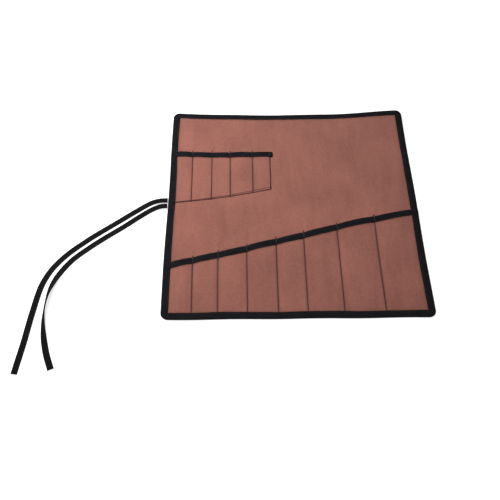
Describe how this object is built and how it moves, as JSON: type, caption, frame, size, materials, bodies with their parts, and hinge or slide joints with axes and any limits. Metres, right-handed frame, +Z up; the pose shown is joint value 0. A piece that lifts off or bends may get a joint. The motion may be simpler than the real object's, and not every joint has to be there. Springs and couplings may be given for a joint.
{
  "type": "brush roll case",
  "caption": "Unrolled canvas brush roll with taped edges, a slanted bank of brush pockets, a short bank of small pockets and two tie tapes; it rolls up from its right edge.",
  "frame": {"origin": "under the middle of the open case, on the surface it lies on, leaving out the tie tapes", "axes": "+Z up out of the pockets, +X across the pockets from the tie edge to the free edge, +Y from the near edge with the brush pockets to the far edge"},
  "size_m": [0.5708, 0.4675, 0.0088],
  "materials": {
    "canvas": "reddish brown plain-woven canvas, matt",
    "binding_tape": "charcoal black folded binding tape, fine twill, low sheen",
    "tie_tape": "black flat woven tape, low sheen"
  },
  "bodies": {
    "tie_column": {"back_panel_1": "canvas", "brush_pocket_front_1": "canvas", "brush_pocket_mouth_tape_1": "binding_tape", "far_edge_tape_1": "binding_tape", "near_edge_tape_1": "binding_tape", "small_pocket_front_1": "canvas", "small_pocket_mouth_tape_1": "binding_tape", "left_edge_tape": "binding_tape", "tie_tape_back": "tie_tape", "tie_tape_front": "tie_tape"},
    "column_2": {"back_panel_2": "canvas", "brush_pocket_front_2": "canvas", "brush_pocket_mouth_tape_2": "binding_tape", "far_edge_tape_2": "binding_tape", "near_edge_tape_2": "binding_tape", "small_pocket_front_2": "canvas", "small_pocket_mouth_tape_2": "binding_tape"},
    "column_3": {"back_panel_3": "canvas", "brush_pocket_front_3": "canvas", "brush_pocket_mouth_tape_3": "binding_tape", "far_edge_tape_3": "binding_tape", "near_edge_tape_3": "binding_tape", "small_pocket_front_3": "canvas", "small_pocket_mouth_tape_3": "binding_tape"},
    "column_4": {"back_panel_4": "canvas", "brush_pocket_front_4": "canvas", "brush_pocket_mouth_tape_4": "binding_tape", "far_edge_tape_4": "binding_tape", "near_edge_tape_4": "binding_tape", "small_pocket_front_4": "canvas", "small_pocket_mouth_tape_4": "binding_tape"},
    "column_5": {"back_panel_5": "canvas", "brush_pocket_front_5": "canvas", "brush_pocket_mouth_tape_5": "binding_tape", "far_edge_tape_5": "binding_tape", "near_edge_tape_5": "binding_tape"},
    "column_6": {"back_panel_6": "canvas", "brush_pocket_front_6": "canvas", "brush_pocket_mouth_tape_6": "binding_tape", "far_edge_tape_6": "binding_tape", "near_edge_tape_6": "binding_tape"},
    "column_7": {"back_panel_7": "canvas", "brush_pocket_front_7": "canvas", "brush_pocket_mouth_tape_7": "binding_tape", "far_edge_tape_7": "binding_tape", "near_edge_tape_7": "binding_tape"},
    "column_8": {"back_panel_8": "canvas", "brush_pocket_front_8": "canvas", "brush_pocket_mouth_tape_8": "binding_tape", "far_edge_tape_8": "binding_tape", "near_edge_tape_8": "binding_tape"},
    "column_9": {"back_panel_9": "canvas", "brush_pocket_front_9": "canvas", "brush_pocket_mouth_tape_9": "binding_tape", "far_edge_tape_9": "binding_tape", "near_edge_tape_9": "binding_tape", "right_edge_tape": "binding_tape"}
  },
  "joints": [
    {"name": "roll_up", "type": "hinge", "parent": "tie_column", "child": "column_2", "pos_m": [-0.1475, 0, 0.0042], "axis": [0, -1, 0], "range_deg": [0, 32]},
    {"name": "fold_2", "type": "hinge", "parent": "column_2", "child": "column_3", "pos_m": [-0.111, 0, 0.0042], "axis": [0, -1, 0], "range_deg": [0, 56]},
    {"name": "fold_3", "type": "hinge", "parent": "column_3", "child": "column_4", "pos_m": [-0.0695, 0, 0.0042], "axis": [0, -1, 0], "range_deg": [0, 64]},
    {"name": "fold_4", "type": "hinge", "parent": "column_4", "child": "column_5", "pos_m": [-0.0265, 0, 0.0042], "axis": [0, -1, 0], "range_deg": [0, 64]},
    {"name": "fold_5", "type": "hinge", "parent": "column_5", "child": "column_6", "pos_m": [0.0145, 0, 0.0042], "axis": [0, -1, 0], "range_deg": [0, 80]},
    {"name": "fold_6", "type": "hinge", "parent": "column_6", "child": "column_7", "pos_m": [0.065, 0, 0.0042], "axis": [0, -1, 0], "range_deg": [0, 112]},
    {"name": "fold_7", "type": "hinge", "parent": "column_7", "child": "column_8", "pos_m": [0.122, 0, 0.0042], "axis": [0, -1, 0], "range_deg": [0, 112]},
    {"name": "fold_8", "type": "hinge", "parent": "column_8", "child": "column_9", "pos_m": [0.156, 0, 0.0042], "axis": [0, -1, 0], "range_deg": [0, 112]}
  ],
  "couplings": [
    {"joint": "fold_2", "follows": "roll_up", "ratio": 1.75},
    {"joint": "fold_3", "follows": "roll_up", "ratio": 2},
    {"joint": "fold_4", "follows": "roll_up", "ratio": 2},
    {"joint": "fold_5", "follows": "roll_up", "ratio": 2.5},
    {"joint": "fold_6", "follows": "roll_up", "ratio": 3.5},
    {"joint": "fold_7", "follows": "roll_up", "ratio": 3.5},
    {"joint": "fold_8", "follows": "roll_up", "ratio": 3.5}
  ]
}
